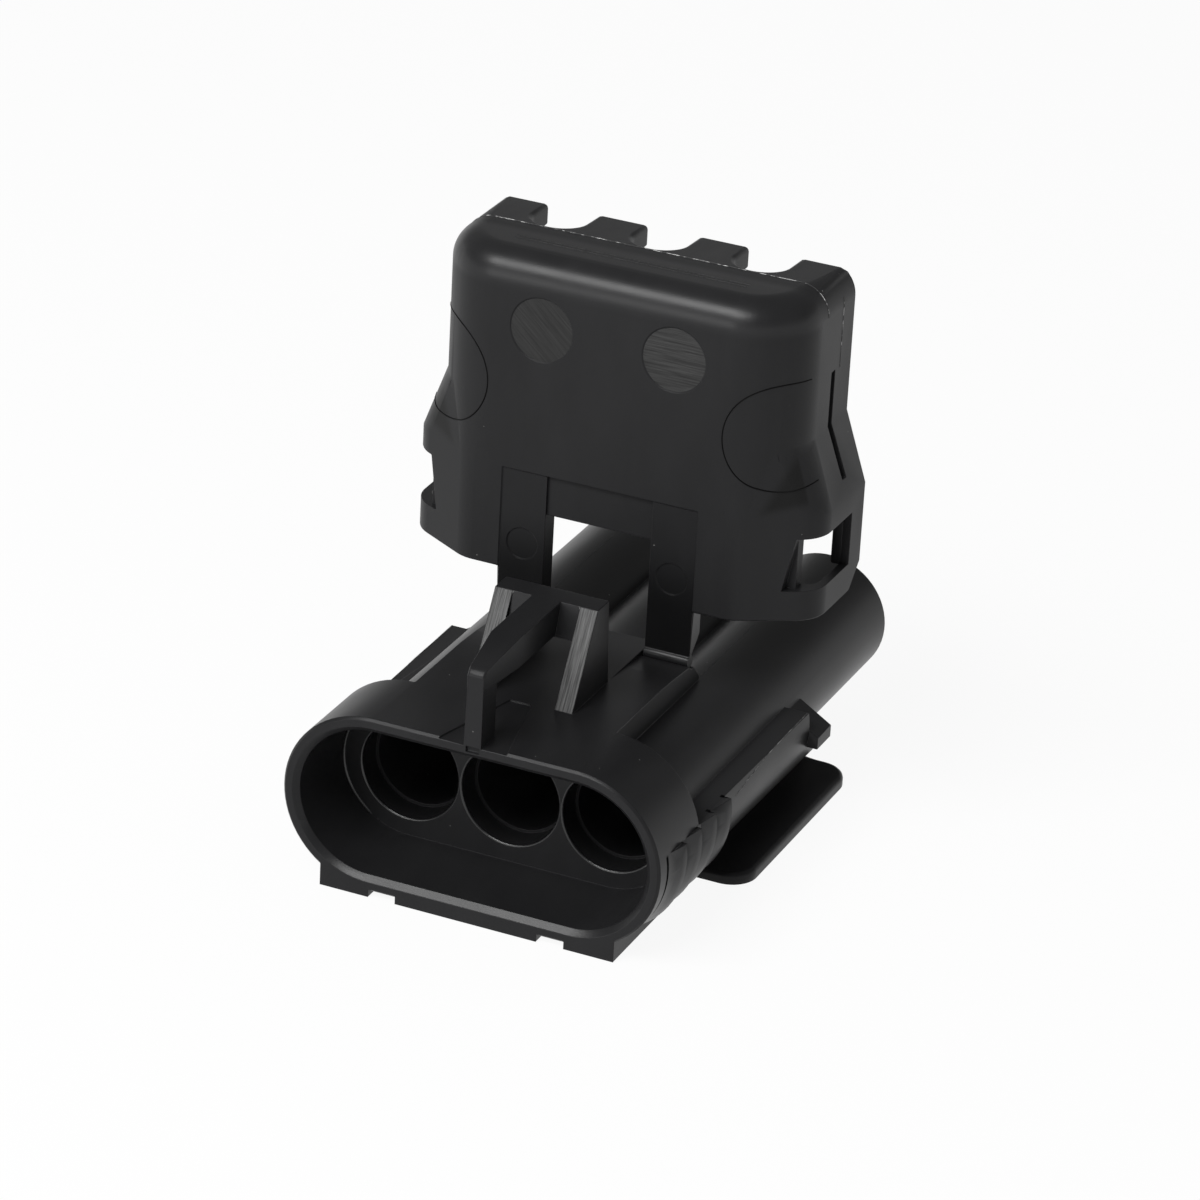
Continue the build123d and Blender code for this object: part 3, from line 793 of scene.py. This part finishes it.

# %% [markdown]
# ## Skin that took the marks of a ground steel insert
# The slopes of the latch bridge and the two round marks on the lock were printed by steel that was
# ground, not spark-eroded. They show fine streaks. Their paler colour is painted light, standing in for
# the lamp's light that these faces catch; the right mark is painted paler than the left. The streaks are
# noise, 0.11 mm wide and stretched about 30 times along the grinding direction, which a first mapping
# turns upright.


# %% Streaked nylon
# The tones given are painted light: paler than the nylon, they stand in for the lamp's light that the
# streaked faces catch.
def ground_nylon(name, turn, painted_light_tones):
    material, tree = empty_material(name)
    place = add_node(tree, "ShaderNodeTexCoord").outputs["Object"]
    turned = add_node(tree, "ShaderNodeMapping", {"Vector": place, "Rotation": turn})
    along = add_node(tree, "ShaderNodeMapping", {"Vector": turned.outputs["Vector"], "Scale": (1, 1, 0.035)})
    streaks = add_node(tree, "ShaderNodeTexNoise", {"Vector": along.outputs["Vector"],
                       "Scale": 1 / (0.11 * MM), "Detail": 4.0, "Roughness": 0.6, "Distortion": 0.3})
    contrast = add_node(tree, "ShaderNodeMapRange", {"Value": streaks.outputs["Fac"], "From Min": 0.35,
                        "From Max": 0.68})
    tone = add_node(tree, "ShaderNodeMix", {"Factor": contrast.outputs["Result"], "A": linear(painted_light_tones[0]),
                    "B": linear(painted_light_tones[1])}, data_type="RGBA")
    bump = add_node(tree, "ShaderNodeBump", {"Height": streaks.outputs["Fac"], "Strength": 0.6,
                    "Distance": 0.02 * MM})
    plastic = add_node(tree, "ShaderNodeBsdfPrincipled", {"Base Color": tone.outputs["Result"],
                       "Normal": bump.outputs["Normal"], "Roughness": 0.5, "IOR": nylon_ior,
                       "Specular IOR Level": 0.2})
    out = add_node(tree, "ShaderNodeOutputMaterial")
    tree.links.new(plastic.outputs["BSDF"], out.inputs["Surface"])
    return material


# %% Streaks on the bridge and on the two round marks
slope = Vector((0, -0.876, 0.482))
mark_floor = -3.57
mark_x = 5.45
mark_z = 39.2
mark_radius = 2.59


def on_bridge_slopes(spot, normal):
    return normal.dot(slope) > 0.985 and 2.7 < abs(spot.x) < 4.4 and 14.8 < spot.z < 22


def in_mark(spot, normal, side):
    on_floor = normal.y < -0.99 and abs(spot.y - mark_floor) < 0.03
    return on_floor and math.hypot(spot.x - side * mark_x, spot.z - mark_z) < mark_radius


# The bridge's slopes face the lamp, and their pale tones are painted light; the right mark's tones are
# painted paler than the left's, painted light as well.
bridge_streaks_painted_light = ground_nylon("ground_nylon_bridge_painted_light", (math.radians(28.8), 0, 0), ("#333333", "#6a6a6a"))
put_on_faces(housing_shell, bridge_streaks_painted_light, on_bridge_slopes)
left_mark_painted_light = ground_nylon("ground_nylon_left_mark_painted_light", (0, math.radians(48), 0), ("#1e1e1e", "#2c2c2c"))
put_on_faces(lock_shell, left_mark_painted_light, lambda spot, normal: in_mark(spot, normal, -1))
right_mark_painted_light = ground_nylon("ground_nylon_right_mark_painted_light", (0, math.radians(-90), 0), ("#1f1f1f", "#393939"))
put_on_faces(lock_shell, right_mark_painted_light, lambda spot, normal: in_mark(spot, normal, 1))

# %% [markdown]
# ## The studio
# The photograph shows the part alone on clean white. A wide floor takes the shadow. Seen by the
# camera, floor and surroundings are white by their own colour, not by strong light on the part. The
# floor keeps a small share of plain matt paper, which is where the shadow shows.

# %% Floor
floor_white = 0.92
bpy.ops.object.select_all(action="DESELECT")
bpy.ops.mesh.primitive_plane_add(size=4.0, location=(0, 0, -0.02 * MM))
floor = bpy.context.object
floor.name = "studio_floor"
paper, tree = empty_material("white_paper_sweep")
rays = add_node(tree, "ShaderNodeLightPath").outputs
matt = add_node(tree, "ShaderNodeBsdfDiffuse", {"Color": linear("#f2f2f2")})
white = add_node(tree, "ShaderNodeEmission", {"Color": linear("#ffffff"), "Strength": 1.0})
glossy = add_node(tree, "ShaderNodeMath", {0: rays["Is Camera Ray"], 1: rays["Is Glossy Ray"]},
                  operation="MAXIMUM")
clear = add_node(tree, "ShaderNodeMath", {0: glossy.outputs[0], 1: rays["Is Transmission Ray"]},
                 operation="MAXIMUM")
share = add_node(tree, "ShaderNodeMath", {0: clear.outputs[0], 1: floor_white}, operation="MULTIPLY")
seen = add_node(tree, "ShaderNodeMixShader", {0: share.outputs[0], 1: matt.outputs[0], 2: white.outputs[0]})
out = add_node(tree, "ShaderNodeOutputMaterial")
tree.links.new(seen.outputs[0], out.inputs["Surface"])
give(floor, paper)
print("floor added,", floor_white, "of it white by itself")

# %% [markdown]
# The surroundings are white down where the floor ends and grey overhead, so upward faces stay dark. A
# wide soft lamp in front, to the left and above gives the bright bands on the rounded edges, and a
# weaker one low in front fills the mouth.

# %% Surroundings
world = bpy.data.worlds.new("white_studio")
world.use_nodes = True
tree = world.node_tree
tree.nodes.clear()
direction = add_node(tree, "ShaderNodeTexCoord").outputs["Generated"]
height_of = add_node(tree, "ShaderNodeSeparateXYZ", {"Vector": direction}).outputs["Z"]
level = add_node(tree, "ShaderNodeMapRange", {"Value": height_of, "From Min": 0.06, "From Max": 0.28,
                 "To Min": 1.0, "To Max": 0.24}, interpolation_type="SMOOTHSTEP")
room = add_node(tree, "ShaderNodeBackground", {"Color": linear("#ffffff"),
                "Strength": level.outputs["Result"]})
out = add_node(tree, "ShaderNodeOutputWorld")
tree.links.new(room.outputs[0], out.inputs["Surface"])
bpy.context.scene.world = world
print("surroundings added")


# %% Lamps
lamp_aim = Vector((0, 0, 0.02))


def soft_lamp(name, place, width, depth, power):
    lamp = bpy.data.lights.new(name, "AREA")
    lamp.shape = "RECTANGLE"
    lamp.size = width
    lamp.size_y = depth
    lamp.energy = power
    holder = bpy.data.objects.new(name, lamp)
    holder.location = place
    holder.rotation_mode = "QUATERNION"
    holder.rotation_quaternion = (lamp_aim - Vector(place)).to_track_quat("-Z", "Y")
    bpy.context.scene.collection.objects.link(holder)
    print(name, "at", place, "power", power, "W")


soft_lamp("key_softbox", (-0.14, -0.36, 0.46), 0.42, 0.20, 3.2)
soft_lamp("front_fill", (-0.22, -0.55, 0.10), 0.30, 0.30, 0.8)

# %% [markdown]
# ## The camera
# It looks down at the mating mouth from the right, through a long lens, as the photograph does. The
# numbers come from fitting a camera to about forty points of the object: the angles are in radians,
# and the focal length is in pixels of a photograph 1200 pixels wide.

# %% Camera
azimuth = 0.40507
height = 0.44485
roll = 0.05481
distance = 0.408878
focal_pixels = 5526.49
photo_width = 1200
sensor_width = 36
target = Vector((0.0052547, -0.01465, 0.0239118))
back = Vector((math.sin(azimuth) * math.cos(height), -math.cos(azimuth) * math.cos(height), math.sin(height)))
lens = bpy.data.cameras.new("photo_camera")
lens.sensor_width = sensor_width
lens.lens = focal_pixels / photo_width * sensor_width
lens.clip_start = 0.01
lens.clip_end = 10
camera = bpy.data.objects.new("photo_camera", lens)
bpy.context.scene.collection.objects.link(camera)
camera.location = target + back * distance
camera.rotation_mode = "QUATERNION"
camera.rotation_quaternion = (-back).to_track_quat("-Z", "Y") @ Quaternion((0, 0, 1), roll)
bpy.context.scene.camera = camera
bpy.context.scene.view_settings.view_transform = "Standard"
print("camera", round(distance / MM), "mm away, lens", round(lens.lens, 1), "mm")
